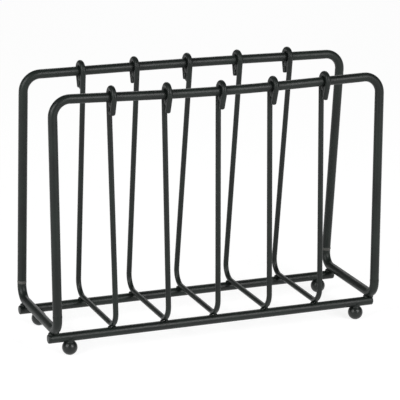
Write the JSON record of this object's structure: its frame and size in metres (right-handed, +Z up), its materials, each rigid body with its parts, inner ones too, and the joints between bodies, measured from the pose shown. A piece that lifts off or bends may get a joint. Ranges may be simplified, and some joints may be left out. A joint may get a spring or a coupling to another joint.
{
  "type": "magazine rack",
  "caption": "Free-standing rack of bent black steel rod: two leaning hoops on ball feet, divided into open slots by lighter rods hooked over the top rails.",
  "frame": {"origin": "on the floor, midway between the four ball feet", "axes": "+X along the row of slots to the right, +Y from front to back, +Z up"},
  "size_m": [0.3662, 0.127, 0.2812],
  "materials": {
    "rod_paint": "satin black powder coat",
    "foot_paint": "satin black powder coat",
    "weld_paint": "satin black powder coat over weld metal"
  },
  "bodies": {
    "root": {"front_hoop": "rod_paint", "back_hoop": "rod_paint", "left_base_yoke": "rod_paint", "right_base_yoke": "rod_paint", "front_base_rail": "rod_paint", "back_base_rail": "rod_paint", "divider_1": "rod_paint", "divider_2": "rod_paint", "divider_3": "rod_paint", "divider_4": "rod_paint", "divider_5": "rod_paint", "foot_front_left": "foot_paint", "foot_front_right": "foot_paint", "foot_back_left": "foot_paint", "foot_back_right": "foot_paint", "hoop_butt_welds": "weld_paint", "left_yoke_welds": "weld_paint", "right_yoke_welds": "weld_paint", "front_divider_welds": "weld_paint", "back_divider_welds": "weld_paint", "front_hook_welds": "weld_paint", "back_hook_welds": "weld_paint", "foot_welds": "weld_paint"}
  },
  "joints": []
}
